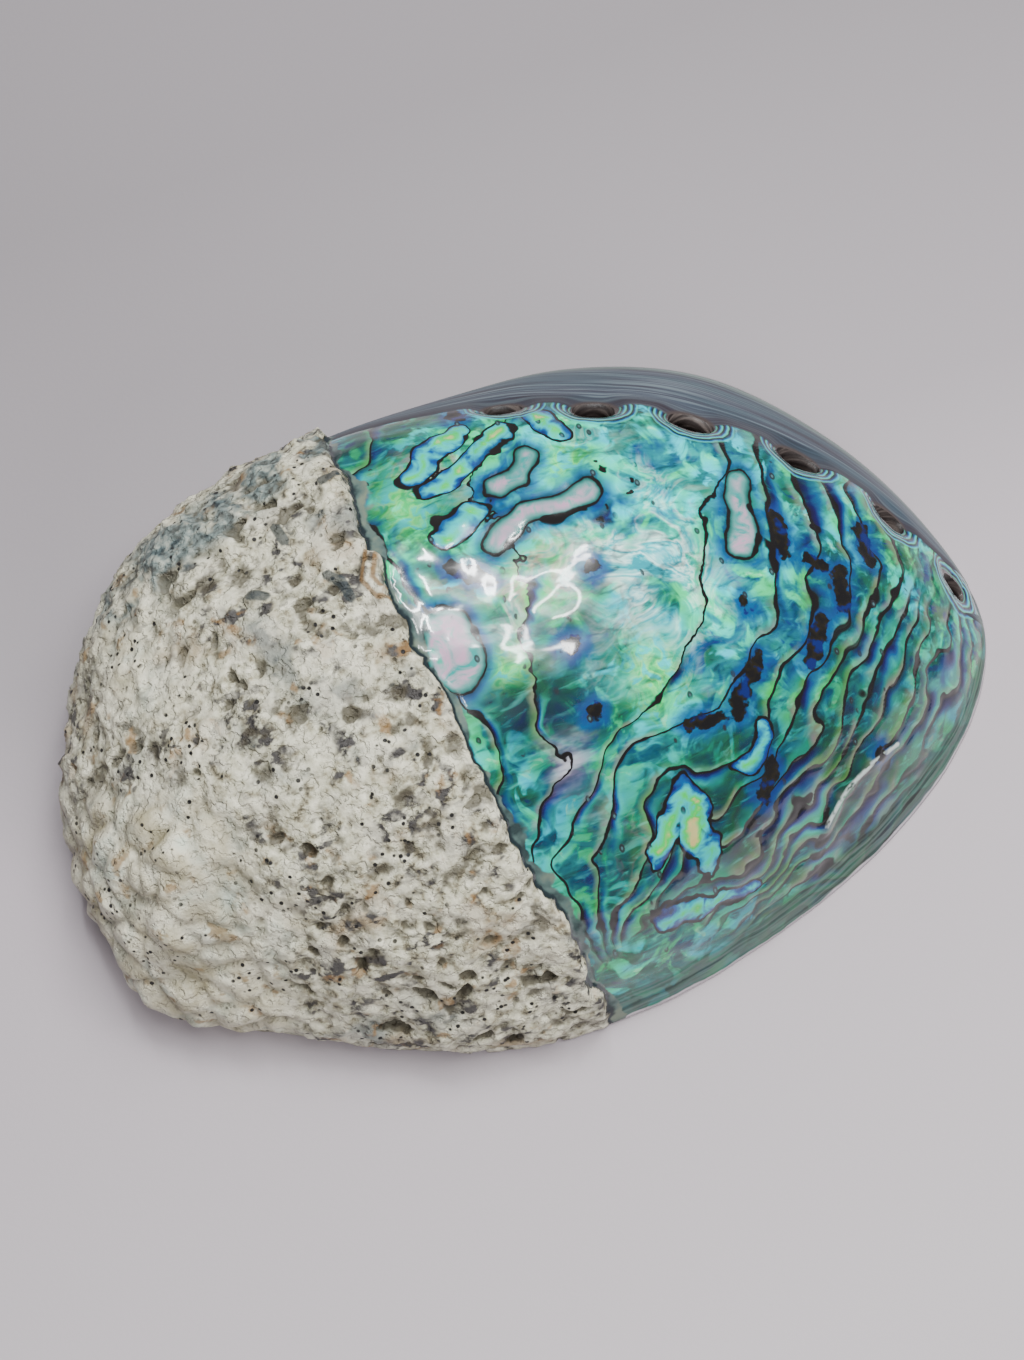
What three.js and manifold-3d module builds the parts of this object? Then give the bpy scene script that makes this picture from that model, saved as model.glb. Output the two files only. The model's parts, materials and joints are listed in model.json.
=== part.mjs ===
// An abalone shell: one natural piece, an ear-shaped bowl with a row of six open breathing holes.
// All sizes are in millimetres. +Z is up, +X runs towards the growing edge, +Y towards the hole row.
import * as THREE from 'three';
import Module from 'manifold-3d';
import { mergeVertices } from 'three/addons/utils/BufferGeometryUtils.js';

const { smoothstep, degToRad } = THREE.MathUtils;

// The highest point of the bowl, which every profile starts from.
const CROWN = { x: -14, y: 3, z: 40 };

// The rim, anticlockwise from the growing end. x, y: the rim in plan. inset, keel: how far in and how
// high the shoulder (the keel under the hole row) sits. bulge: how far the flank swells past the rim.
// sharp: how angular the shoulder is. lift: the rim's rise off the ground, none where negative.
// lip: the width of the rim's flat edge. shelf, step: how far in the inner shelf reaches and how high.
const STATIONS = [
  { x: 75.2, y: -11, inset: 3.4, keel: 8, bulge: 0, sharp: 0.6,
    lift: -0.3, lip: 2.4, shelf: 4, step: 2 },
  { x: 72.4, y: 6.5, inset: 8, keel: 16, bulge: 0, sharp: 0.8,
    lift: 0.4, lip: 2.6, shelf: 6, step: 3 },
  { x: 63, y: 25.5, inset: 13.5, keel: 22.5, bulge: 0, sharp: 1,
    lift: 1.2, lip: 3, shelf: 8.5, step: 4 },
  { x: 47.5, y: 42.5, inset: 17.5, keel: 26.5, bulge: 0, sharp: 1,
    lift: 1.4, lip: 3.2, shelf: 10.5, step: 5 },
  { x: 27, y: 51.6, inset: 17.5, keel: 28.5, bulge: 0, sharp: 1,
    lift: 0.8, lip: 3.4, shelf: 12, step: 6 },
  { x: 5, y: 54, inset: 13, keel: 29, bulge: 0, sharp: 1,
    lift: -0.3, lip: 3.6, shelf: 12.5, step: 6.5 },
  { x: -17.5, y: 53, inset: 9.5, keel: 28.5, bulge: 0, sharp: 1,
    lift: -0.5, lip: 3.6, shelf: 12.5, step: 6.5 },
  { x: -39.5, y: 47, inset: 8.5, keel: 27, bulge: 0.5, sharp: 0.8,
    lift: -0.4, lip: 3.6, shelf: 12, step: 6.5 },
  { x: -57, y: 33, inset: 6.5, keel: 24, bulge: 1.2, sharp: 0.6,
    lift: 0.5, lip: 3.4, shelf: 11, step: 6 },
  { x: -68.5, y: 13, inset: 5, keel: 20, bulge: 2, sharp: 0.3,
    lift: 0.6, lip: 3.2, shelf: 9, step: 5 },
  { x: -71, y: -8, inset: 5, keel: 18, bulge: 2.2, sharp: 0.2,
    lift: -0.3, lip: 3, shelf: 6, step: 4 },
  { x: -62.5, y: -26.5, inset: 5, keel: 16, bulge: 1.5, sharp: 0.1,
    lift: -0.5, lip: 2.8, shelf: 4.5, step: 3 },
  { x: -43.5, y: -38.5, inset: 5, keel: 15, bulge: 0.8, sharp: 0,
    lift: 0.3, lip: 2.6, shelf: 3.6, step: 2 },
  { x: -22, y: -48.6, inset: 6, keel: 14, bulge: 0.4, sharp: 0,
    lift: 0.9, lip: 2.4, shelf: 3.4, step: 2 },
  { x: 3, y: -51, inset: 7, keel: 14, bulge: 0, sharp: 0,
    lift: 0.5, lip: 2.3, shelf: 3.3, step: 2 },
  { x: 28, y: -46.5, inset: 8.5, keel: 14, bulge: 0, sharp: 0,
    lift: -0.4, lip: 2.2, shelf: 3.2, step: 2 },
  { x: 50.5, y: -38, inset: 10, keel: 13.5, bulge: 0, sharp: 0,
    lift: -0.4, lip: 2.2, shelf: 3.2, step: 2 },
  { x: 67.5, y: -25.5, inset: 8, keel: 12, bulge: 0, sharp: 0.2,
    lift: 0.2, lip: 2.2, shelf: 3.2, step: 2 },
];

// The outside from crown to shoulder: how far out each point is and how much height it keeps.
const DOME = [
  { out: 0, keep: 1, drop: 0 },
  { out: 0.3, keep: 1, drop: 0 },
  { out: 0.6, keep: 0.78, drop: 0.08 },
  { out: 0.84, keep: 0.44, drop: 0.12 },
];

// The flank from shoulder to rim, as shares of the shoulder's inset and height.
const FLANK = { in: 0.42, up: 0.52 };

// The wall's thickness at the crown and how far it thickens towards the shoulder.
const WALL = 3.5;
const WALL_GAIN = [1, 1, 1.05, 1.12];
const SHOULDER_IN = 3.2;
const SHOULDER_DOWN = 3.8;
const FLANK_IN = 4;
const SHELF_ROOT = { in: 0.8, add: 0.9, up: 3 };
const LIP_ROUND = { in: 0.7, up: 0.4 };

// The crust of old chalky growth left on the spire half, edged by one ground line across the shell:
// the line in plan, the crust's thickness, the width of its sloping edge, its lumps and its thick end.
const CRUST_EDGE = { x: -12.6, slope: -0.115, curve: 0.0013 };
const CRUST_THICK = 1.8;
const CRUST_RAMP = 2.5;
const CRUST_LUMPS = [
  { x: -67, y: -24, radius: 15, rise: 2.4 },
  { x: -48, y: 34, radius: 26, rise: 1.7 },
];
const CRUST_END = { start: -40, full: -72, rise: 0.9 };

// The spire: a low coil with a groove that winds out from its plain apex.
const SPIRE = { x: -58, y: -10, radius: 12.5, rise: 3.6, groove: 1, growth: 0.34, reach: 16, apex: 2 };

// The open breathing holes along the shoulder: centre, half length and half width of each.
const PORES = [
  { x: 71.4, y: -5.6, z: 8.5, long: 2.6, wide: 1.6 },
  { x: 64.2, y: 6.8, z: 14.5, long: 3, wide: 1.9 },
  { x: 53, y: 19.4, z: 20, long: 3.6, wide: 2.2 },
  { x: 38.6, y: 29.6, z: 24.8, long: 3.6, wide: 2.3 },
  { x: 25, y: 35.9, z: 26.4, long: 3.4, wide: 2.2 },
  { x: 12, y: 41, z: 25.6, long: 3.1, wide: 2.1 },
];

// The bars that cut the holes: their lean from upright in degrees, their length and number of sides.
const PORE_LEAN = 50;
const PORE_DEPTH = 22;
const PORE_SIDES = 20;

// How finely the surface is cut: rings from crown to rim, with eight more points on every ring out.
const RINGS = 20;
const OCTANTS = 8;
const CUBIC = 3;

const SHELL_COLOUR = 0x6fa8a4;
const SHELL_ROUGHNESS = 0.3;
const SHELL_METALNESS = 0;

const HALF = 0.5;

// How far apart the points are that a slope is measured between, as a share of a turn or a profile.
const NORMAL_STEP = 0.004;

// Keeps the end of a profile inside its last span.
const SPAN_END = 1e-9;

function stationAt(turn) {
  const count = STATIONS.length;
  const place = turn * count;
  const first = Math.floor(place);
  const part = place - first;
  const near = [-1, 0, 1, 2].map((step) => STATIONS[(first + step + count) % count]);
  const weights = catmullRom(part);
  const blend = {};
  for (const key of Object.keys(near[0])) {
    blend[key] = near.reduce((sum, row, index) => sum + row[key] * weights[index], 0);
  }
  blend.lift = Math.max(blend.lift, 0);
  return blend;
}

// The four weights of the usual smooth curve through evenly spaced points.
function catmullRom(f) {
  const g = f * f;
  const h = g * f;
  return [
    HALF * (-f + 2 * g - h),
    HALF * (2 - 5 * g + 3 * h),
    HALF * (f + 4 * g - 3 * h),
    HALF * (h - g),
  ];
}

// Where a cubic B-spline with clamped ends is at t, from 0 to 1.
function splinePoint(controls, t) {
  const spans = controls.length - CUBIC;
  const place = Math.min(t * spans, spans - SPAN_END);
  const span = Math.floor(place);
  const knot = (index) => Math.min(Math.max(index - CUBIC, 0), spans);
  const points = controls.slice(span, span + CUBIC + 1).map((point) => [...point]);
  for (let level = 1; level <= CUBIC; level += 1) {
    for (let j = CUBIC; j >= level; j -= 1) {
      const low = knot(span + j);
      const high = knot(span + j + 1 + CUBIC - level);
      const share = (place - low) / (high - low);
      points[j] = points[j].map((value, axis) => points[j - 1][axis] * (1 - share) + value * share);
    }
  }
  return points[CUBIC];
}

// The dome's part of a profile, lowered by the wall's thickness on the inside.
function domeControls(row, span, wall) {
  const rise = CROWN.z - row.keel;
  return DOME.map((step, index) => {
    const keep = step.keep - step.drop * row.sharp;
    return [span - step.out * (span - row.inset), row.keel + rise * keep - wall * WALL_GAIN[index]];
  });
}

// The outside profile: distance in from the rim, and height.
function outerControls(row, span) {
  return [
    ...domeControls(row, span, 0),
    [row.inset, row.keel],
    [FLANK.in * row.inset - row.bulge, FLANK.up * row.keel + HALF * row.lift],
    [0, row.lift],
  ];
}

// The inside profile: down to the shelf, round it and out to the flat of the lip.
function innerControls(row, span) {
  const flank = FLANK.in * row.inset - row.bulge + FLANK_IN;
  const root = Math.max(SHELF_ROOT.in * row.shelf + SHELF_ROOT.add, row.lip + SHELF_ROOT.add);
  return [
    ...domeControls(row, span, WALL),
    [row.inset + SHOULDER_IN, row.keel - SHOULDER_DOWN],
    [flank, FLANK.up * row.keel],
    [root, row.step + SHELF_ROOT.up],
    [row.shelf, row.step],
    [row.lip + LIP_ROUND.in, row.lift + LIP_ROUND.up],
    [row.lip, row.lift],
  ];
}

function surfacePoint(turn, t, controlsOf) {
  const row = stationAt(turn);
  const span = Math.hypot(row.x - CROWN.x, row.y - CROWN.y);
  const [inward, height] = splinePoint(controlsOf(row, span), t);
  const share = inward / span;
  return new THREE.Vector3(
    row.x + (CROWN.x - row.x) * share,
    row.y + (CROWN.y - row.y) * share,
    height,
  );
}

function lumpRise(lump, point) {
  const away = Math.hypot(point.x - lump.x, point.y - lump.y);
  return lump.rise * (1 - smoothstep(away, 0, lump.radius));
}

// The crust's thickness over a point of the outside.
function crustThickness(point) {
  const edge = CRUST_EDGE.x + CRUST_EDGE.slope * point.y + CRUST_EDGE.curve * point.y ** 2;
  const cover = 1 - smoothstep(point.x, edge - CRUST_RAMP, edge);
  const lumps = CRUST_LUMPS.reduce((sum, lump) => sum + lumpRise(lump, point), 0);
  const end = CRUST_END.rise * (1 - smoothstep(point.x, CRUST_END.full, CRUST_END.start));
  return cover * (CRUST_THICK + lumps + end);
}

// The spire's height over a point of the outside, with its groove winding out from the apex.
function spireRise(point) {
  const dx = point.x - SPIRE.x;
  const dy = point.y - SPIRE.y;
  const away = Math.hypot(dx, dy);
  const winding = Math.log(Math.max(away, 1)) / SPIRE.growth + Math.atan2(dy, dx);
  const cover = 1 - smoothstep(away, 0, SPIRE.reach);
  const coil = (HALF + HALF * Math.cos(winding)) ** 2;
  const groove = SPIRE.groove * coil * smoothstep(away, 0, SPIRE.apex);
  const dome = SPIRE.rise * Math.exp(-((away / SPIRE.radius) ** 2));
  return cover * (dome - groove);
}

function outwardNormal(turn, t) {
  const before = surfacePoint((turn + 1 - NORMAL_STEP) % 1, t, outerControls);
  const after = surfacePoint((turn + NORMAL_STEP) % 1, t, outerControls);
  const above = surfacePoint(turn, Math.max(t - NORMAL_STEP, 0), outerControls);
  const below = surfacePoint(turn, Math.min(t + NORMAL_STEP, 1), outerControls);
  return below.sub(above).cross(after.sub(before)).normalize();
}

function outerPoint(turn, t) {
  const point = surfacePoint(turn, t, outerControls);
  const lift = stationAt(turn).lift;
  const normal = t > 0 ? outwardNormal(turn, t) : new THREE.Vector3(0, 0, 1);
  const thick = crustThickness(point) + spireRise(point) * smoothstep(point.z, 0, SPIRE.radius);
  point.addScaledVector(normal, thick);
  point.z = t < 1 ? Math.max(point.z, lift) : lift;
  return point;
}

function innerPoint(turn, t) {
  const point = surfacePoint(turn, t, innerControls);
  const out = t === 1 ? crustThickness(surfacePoint(turn, 1, outerControls)) : 0;
  const row = stationAt(turn);
  const span = Math.hypot(row.x - CROWN.x, row.y - CROWN.y);
  point.x += (out * HALF * (row.x - CROWN.x)) / span;
  point.y += (out * HALF * (row.y - CROWN.y)) / span;
  return point;
}

// Every ring holds eight points more than the one inside it, so the triangles stay even.
function ringStart(ring) {
  return ring === 0 ? 0 : 1 + (OCTANTS * ring * (ring - 1)) / 2;
}

function ringIndex(ring, step) {
  const count = Math.max(OCTANTS * ring, 1);
  return ringStart(ring) + (step % count);
}

function gridPoints(pointAt) {
  const points = [pointAt(0, 0)];
  for (let ring = 1; ring <= RINGS; ring += 1) {
    for (let step = 0; step < OCTANTS * ring; step += 1) {
      points.push(pointAt(step / (OCTANTS * ring), ring / RINGS));
    }
  }
  return points;
}

function gridFaces() {
  const faces = [];
  for (let ring = 1; ring <= RINGS; ring += 1) {
    for (let octant = 0; octant < OCTANTS; octant += 1) {
      addOctant(faces, ring, octant);
    }
  }
  return faces;
}

function addOctant(faces, ring, octant) {
  for (let step = 0; step < ring; step += 1) {
    const outer = octant * ring + step;
    const inner = octant * (ring - 1) + step;
    faces.push([ringIndex(ring - 1, inner), ringIndex(ring, outer), ringIndex(ring, outer + 1)]);
    if (step < ring - 1) {
      faces.push([ringIndex(ring - 1, inner), ringIndex(ring, outer + 1), ringIndex(ring - 1, inner + 1)]);
    }
  }
}

function rimFaces(shift) {
  const faces = [];
  for (let step = 0; step < OCTANTS * RINGS; step += 1) {
    const here = ringIndex(RINGS, step);
    const next = ringIndex(RINGS, step + 1);
    faces.push([here, here + shift, next + shift]);
    faces.push([here, next + shift, next]);
  }
  return faces;
}

function shellGeometry() {
  const outside = gridPoints(outerPoint);
  const inside = gridPoints(innerPoint);
  const shift = outside.length;
  const upper = gridFaces();
  const lower = upper.map(([a, b, c]) => [a + shift, c + shift, b + shift]);
  const geometry = new THREE.BufferGeometry().setFromPoints([...outside, ...inside]);
  geometry.setIndex([...upper, ...lower, ...rimFaces(shift)].flat());
  return geometry;
}

// An oval bar along the way a breathing hole runs, square to the hole row and leaning outwards.
function poreBar(index) {
  const pore = PORES[index];
  const before = PORES[Math.max(index - 1, 0)];
  const after = PORES[Math.min(index + 1, PORES.length - 1)];
  const along = new THREE.Vector3(after.x - before.x, after.y - before.y, after.z - before.z).normalize();
  const side = new THREE.Vector3(along.y, -along.x, 0).normalize();
  const lean = degToRad(PORE_LEAN);
  const axis = side.multiplyScalar(Math.sin(lean)).add(new THREE.Vector3(0, 0, Math.cos(lean)));
  const across = new THREE.Vector3().crossVectors(axis, along).normalize();
  const length = new THREE.Vector3().crossVectors(across, axis).normalize();
  const bar = new THREE.CylinderGeometry(1, 1, PORE_DEPTH, PORE_SIDES);
  bar.deleteAttribute('normal');
  bar.deleteAttribute('uv');
  bar.scale(pore.long, 1, pore.wide);
  bar.applyMatrix4(new THREE.Matrix4().makeBasis(length, axis.normalize(), across.negate()));
  bar.translate(pore.x, pore.y, pore.z);
  return bar;
}

function toSolid(wasm, geometry) {
  const merged = mergeVertices(geometry);
  const mesh = new wasm.Mesh({
    numProp: 3,
    vertProperties: new Float32Array(merged.attributes.position.array),
    triVerts: new Uint32Array(merged.index.array),
  });
  return new wasm.Manifold(mesh);
}

function toGeometry(solid) {
  const mesh = solid.getMesh();
  const geometry = new THREE.BufferGeometry();
  geometry.setAttribute('position', new THREE.BufferAttribute(mesh.vertProperties, mesh.numProp));
  geometry.setIndex(new THREE.BufferAttribute(mesh.triVerts, 1));
  return geometry;
}

// Puts the middle of the plan box over the origin, with the rim left on the ground.
function centre(geometry) {
  geometry.computeBoundingBox();
  const middle = geometry.boundingBox.getCenter(new THREE.Vector3());
  geometry.translate(-middle.x, -middle.y, 0);
  return geometry;
}

async function build() {
  const wasm = await Module();
  wasm.setup();
  let solid = toSolid(wasm, shellGeometry());
  for (const index of PORES.keys()) {
    solid = solid.subtract(toSolid(wasm, poreBar(index)));
  }
  const geometry = centre(toGeometry(solid));
  geometry.computeVertexNormals();
  const material = new THREE.MeshStandardMaterial({
    color: SHELL_COLOUR,
    roughness: SHELL_ROUGHNESS,
    metalness: SHELL_METALNESS,
  });
  const shell = new THREE.Mesh(geometry, material);
  shell.name = 'abalone_shell';
  const group = new THREE.Group();
  group.add(shell);
  return group;
}

export default await build();
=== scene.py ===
# %% [markdown]
# # A half-polished abalone shell
# The shell is one grown thing: a low ear-shaped bowl with a row of breathing holes. Someone has ground
# and lacquered the growing half down to the nacre and left the chalky crust on the spire half.
# The packed CAD body holds the size and the place. This script makes the surface that is seen.

# %% Load the frame
import json
import math
import bpy
import numpy as np
from mathutils import Matrix, Vector, noise
from mathutils.kdtree import KDTree

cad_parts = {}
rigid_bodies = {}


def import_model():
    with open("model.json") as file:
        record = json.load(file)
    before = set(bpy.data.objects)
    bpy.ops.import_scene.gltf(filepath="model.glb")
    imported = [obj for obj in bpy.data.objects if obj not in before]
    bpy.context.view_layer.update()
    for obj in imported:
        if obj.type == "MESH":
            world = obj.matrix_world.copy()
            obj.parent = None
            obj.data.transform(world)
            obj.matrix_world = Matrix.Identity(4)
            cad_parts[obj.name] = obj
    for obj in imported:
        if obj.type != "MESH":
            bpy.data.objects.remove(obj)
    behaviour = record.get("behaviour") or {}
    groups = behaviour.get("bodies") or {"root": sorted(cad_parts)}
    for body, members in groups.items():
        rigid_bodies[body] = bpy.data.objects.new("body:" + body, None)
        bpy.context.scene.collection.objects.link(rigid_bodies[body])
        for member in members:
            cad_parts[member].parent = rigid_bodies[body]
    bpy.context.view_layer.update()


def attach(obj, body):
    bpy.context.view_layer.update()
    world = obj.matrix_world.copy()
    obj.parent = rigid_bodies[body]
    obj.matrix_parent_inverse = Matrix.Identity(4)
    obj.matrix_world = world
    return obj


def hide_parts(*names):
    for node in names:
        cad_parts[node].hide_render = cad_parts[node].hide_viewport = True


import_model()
MM = 0.001

# %% [markdown]
# ## The shape of the bowl
# A shell has no flat faces to measure from, so its shape is held by its rim and by its shoulder. Each
# row below is one place on the rim, anticlockwise from the growing tip, in millimetres. A smooth curve
# through the rows gives every place between them, which is how a boat builder uses stations.

# %% Stations round the rim
CROWN = np.array([-14.0, 3.0])
CROWN_HEIGHT = 40.0
MIDDLE = np.array([0.69, 0.58])
# rim x, rim y, shoulder inset, shoulder height, bulge, sharpness, lift, lip width, shelf reach, shelf height
STATIONS = np.array([
    (75.2, -11, 3.4, 8, 0, 0.6, -0.3, 2.4, 4, 2),
    (72.4, 6.5, 8, 16, 0, 0.8, 0.4, 2.6, 6, 3),
    (63, 25.5, 13.5, 22.5, 0, 1, 1.2, 3, 8.5, 4),
    (47.5, 42.5, 17.5, 26.5, 0, 1, 1.4, 3.2, 10.5, 5),
    (27, 51.6, 17.5, 28.5, 0, 1, 0.8, 3.4, 12, 6),
    (5, 54, 13, 29, 0, 1, -0.3, 3.6, 12.5, 6.5),
    (-17.5, 53, 9.5, 28.5, 0, 1, -0.5, 3.6, 12.5, 6.5),
    (-39.5, 47, 8.5, 27, 0.5, 0.8, -0.4, 3.6, 12, 6.5),
    (-57, 33, 6.5, 24, 1.2, 0.6, 0.5, 3.4, 11, 6),
    (-68.5, 13, 5, 20, 2, 0.3, 0.6, 3.2, 9, 5),
    (-71, -8, 5, 18, 2.2, 0.2, -0.3, 3, 6, 4),
    (-62.5, -26.5, 5, 16, 1.5, 0.1, -0.5, 2.8, 4.5, 3),
    (-43.5, -38.5, 5, 15, 0.8, 0, 0.3, 2.6, 3.6, 2),
    (-22, -48.6, 6, 14, 0.4, 0, 0.9, 2.4, 3.4, 2),
    (3, -51, 7, 14, 0, 0, 0.5, 2.3, 3.3, 2),
    (28, -46.5, 8.5, 14, 0, 0, -0.4, 2.2, 3.2, 2),
    (50.5, -38, 10, 13.5, 0, 0, -0.4, 2.2, 3.2, 2),
    (67.5, -25.5, 8, 12, 0, 0.2, 0.2, 2.2, 3.2, 2),
])


def station_at(turn):
    """The smooth row of station values at each turn, from 0 to 1 round the rim."""
    count = len(STATIONS)
    place = np.mod(turn, 1) * count
    first = np.floor(place).astype(int)
    f = (place - first)[:, None]
    a, b, c, d = (STATIONS[(first + step) % count] for step in (-1, 0, 1, 2))
    row = 0.5 * (2 * b + (c - a) * f + (2 * a - 5 * b + 4 * c - d) * f**2 + (3 * b - a - 3 * c + d) * f**3)
    row[:, 6] = np.maximum(row[:, 6], 0)
    return row


print("stations:", len(STATIONS))

# %% [markdown]
# ## Profiles from crown to rim
# Each profile starts at the crown, runs over the dome, turns at the shoulder and drops down the flank.
# A B-spline suits it: it never wiggles, and moving one control point only changes the curve near it.
# The inside has its own profile, a wall's thickness further in, with the broad shelf under the hole row.

# %% Profile curves
WALL = 3.5


def spline_weights(count, t):
    """How much each of the control points counts at each t on a clamped cubic B-spline."""
    t = np.clip(t, 0, 1 - 1e-9)
    knots = np.concatenate([np.zeros(3), np.linspace(0, 1, count - 2), np.ones(3)])
    basis = [((t >= low) & (t < high)).astype(float) for low, high in zip(knots[:-1], knots[1:])]
    for degree in (1, 2, 3):
        basis = [raised(basis, knots, t, i, degree) for i in range(len(knots) - 1 - degree)]
    return np.stack(basis, 1)


def raised(basis, knots, t, i, degree):
    rise = knots[i + degree] - knots[i]
    fall = knots[i + degree + 1] - knots[i + 1]
    up = (t - knots[i]) / rise * basis[i] if rise else 0 * t
    down = (knots[i + degree + 1] - t) / fall * basis[i + 1] if fall else 0 * t
    return up + down


def dome_controls(row, span, wall):
    steps = ((0, 1, 0, 1), (0.3, 1, 0, 1), (0.6, 0.78, 0.08, 1.05), (0.84, 0.44, 0.12, 1.12))
    rise = CROWN_HEIGHT - row[:, 3]
    return [(span - out * (span - row[:, 2]), row[:, 3] + rise * (keep - drop * row[:, 5]) - wall * gain)
            for out, keep, drop, gain in steps]


def outer_controls(row, span):
    return dome_controls(row, span, 0) + [
        (row[:, 2], row[:, 3]),
        (0.42 * row[:, 2] - row[:, 4], 0.52 * row[:, 3] + 0.5 * row[:, 6]),
        (0 * span, row[:, 6]),
    ]


def inner_controls(row, span):
    root = np.maximum(0.8 * row[:, 8] + 0.9, row[:, 7] + 0.9)
    return dome_controls(row, span, WALL) + [
        (row[:, 2] + 3.2, row[:, 3] - 3.8),
        (0.42 * row[:, 2] - row[:, 4] + 4, 0.52 * row[:, 3]),
        (root, row[:, 9] + 3),
        (row[:, 8], row[:, 9]),
        (row[:, 7] + 0.7, row[:, 6] + 0.4),
        (row[:, 7], row[:, 6]),
    ]


def surface(turn, t, controls_of):
    """Points in millimetres at each pair of turn and t."""
    row = station_at(turn)
    out = row[:, :2] - CROWN
    span = np.hypot(out[:, 0], out[:, 1])
    controls = np.stack([np.stack(c, 1) for c in controls_of(row, span)], 1)
    weights = spline_weights(controls.shape[1], t)
    inward, height = np.einsum("nc,nca->an", weights, controls)
    plan = row[:, :2] - out * (inward / span)[:, None]
    return np.column_stack([plan, height])


tip = surface(np.zeros(3), np.array([0, 0.5, 1]), outer_controls)
print("crown, shoulder and rim at the tip, mm:", tip.round(1).tolist())

# %% [markdown]
# ## A grid that suits a bowl
# Straight spokes would crowd together at the crown. Here every ring holds eight more points than the
# ring inside it, so the triangles stay the same size all over, and the same rings laid out as nested
# squares give a tidy flat map for the texture.

# %% Nested rings
RINGS_OUT = 132
RINGS_IN = RINGS_OUT // 2


def ring_places(rings):
    """The turn and t of every grid point, from the crown out."""
    turn = [np.zeros(1)] + [np.arange(8 * k) / (8 * k) for k in range(1, rings + 1)]
    t = [np.zeros(1)] + [np.full(8 * k, k / rings) for k in range(1, rings + 1)]
    return np.concatenate(turn), np.concatenate(t)


def ring_start(k):
    return np.where(k == 0, 0, 1 + 4 * k * (k - 1))


def ring_index(k, step):
    return ring_start(k) + np.mod(step, np.maximum(8 * k, 1))


def ring_faces(rings):
    faces = []
    for k in range(1, rings + 1):
        octant, step = np.divmod(np.arange(8 * k), k)
        outer = octant * k + step
        inner = octant * (k - 1) + step
        corners = [ring_index(k - 1, inner), ring_index(k, outer), ring_index(k, outer + 1)]
        faces.append(np.column_stack(corners))
        keep = step < k - 1
        faces.append(np.column_stack([
            ring_index(k - 1, inner), ring_index(k, outer + 1), ring_index(k - 1, inner + 1)])[keep])
    return np.concatenate(faces)


def square_map(turn, t):
    """Each ring laid out as a square, from -1 to 1."""
    place = turn * 8
    side = lambda shift: np.clip(2 - np.abs(np.mod(place + shift, 8) - 4), -1, 1)
    return np.column_stack([side(4) * t, side(2) * t])


print("points outside and inside:", 1 + 4 * RINGS_OUT * (RINGS_OUT + 1), 1 + 4 * RINGS_IN * (RINGS_IN + 1))

# %% [markdown]
# ## Where the crust stops and the holes are
# The grinding stopped along one nearly straight line over the crown. Left of it the crust stands about
# two millimetres proud, thicker over the spire end. The open holes sit on the shoulder, each leaning
# outwards.

# %% Plan of the crust edge and the holes
# hole x, y, z, half length, half width
PORES = np.array([
    (71.4, -5.6, 8.5, 2.6, 1.6),
    (64.2, 6.8, 14.5, 3, 1.9),
    (53, 19.4, 20, 3.6, 2.2),
    (38.6, 29.6, 24.8, 3.6, 2.3),
    (25, 35.9, 26.4, 3.4, 2.2),
    (12, 41, 25.6, 3.1, 2.1),
])
PORE_LEAN = math.radians(50)
PORE_DEPTH = 9
SPIRE = np.array([-58.0, -10.0])
FAR = 99.0


def smooth_step(low, high, value):
    share = np.clip((value - low) / (high - low), 0, 1)
    return share * share * (3 - 2 * share)


def noise_of(points, size, seed=0.0, octaves=1):
    """Smooth noise from about -1 to 1, with bumps about size millimetres across."""
    shift = Vector((seed * 17.3, seed * 7.1, seed * 3.7))
    scale = 1.0 / size
    if octaves == 1:
        return np.array([noise.noise(Vector(p) * scale + shift) for p in points])
    return np.array([noise.fractal(Vector(p) * scale + shift, 1.0, 2.0, octaves) for p in points])


def crust_side(points, ragged):
    """Distance past the crust edge in plan: negative on the crust."""
    edge = -12.6 - 0.115 * points[:, 1] + 0.0013 * points[:, 1] ** 2
    return points[:, 0] - edge + ragged


def pore_axes(index):
    before = PORES[max(index - 1, 0), :3]
    after = PORES[min(index + 1, len(PORES) - 1), :3]
    along = (after - before) / np.linalg.norm(after - before)
    side = np.array([along[1], -along[0], 0])
    side /= np.linalg.norm(side)
    axis = side * math.sin(PORE_LEAN) + np.array([0, 0, math.cos(PORE_LEAN)])
    across = np.cross(axis, along)
    across /= np.linalg.norm(across)
    return np.cross(across, axis), axis, across


def pore_distance(points):
    """Distance from the edge of the nearest hole, in millimetres: negative inside it."""
    best = np.full(len(points), FAR)
    for index, pore in enumerate(PORES):
        length, axis, across = pore_axes(index)
        away = points - pore[:3]
        u, v = away @ length / pore[3], away @ across / pore[4]
        ring = np.hypot(u, v)
        gap = (ring - 1) * np.hypot(u * pore[3], v * pore[4]) / np.maximum(ring, 1e-6)
        best = np.minimum(best, np.where(np.abs(away @ axis) < PORE_DEPTH, gap, FAR))
    return best


def chain_distance(points, chain):
    """Distance in plan from a chain of points."""
    best = np.full(len(points), FAR)
    for a, b in zip(chain[:-1], chain[1:]) if len(chain) > 1 else [(chain[0], chain[0])]:
        a, b = np.array(a, float), np.array(b, float)
        run = b - a
        share = np.clip((points[:, :2] - a) @ run / max(run @ run, 1e-9), 0, 1)
        best = np.minimum(best, np.linalg.norm(points[:, :2] - a - share[:, None] * run, axis=1))
    return best


print("hole spacing, mm:", np.linalg.norm(np.diff(PORES[:, :3], axis=0), axis=1).round(1).tolist())

# %% [markdown]
# ## Growth lines
# Nacre is laid down in sheets. Grinding a curved stack of sheets exposes their edges as wandering dark
# lines, like the contour lines of a map. So the lines here are drawn as a map is: a few known heights,
# a smooth sheet bent through them, and a line at each whole height. A thin-plate spline is that sheet.

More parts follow.
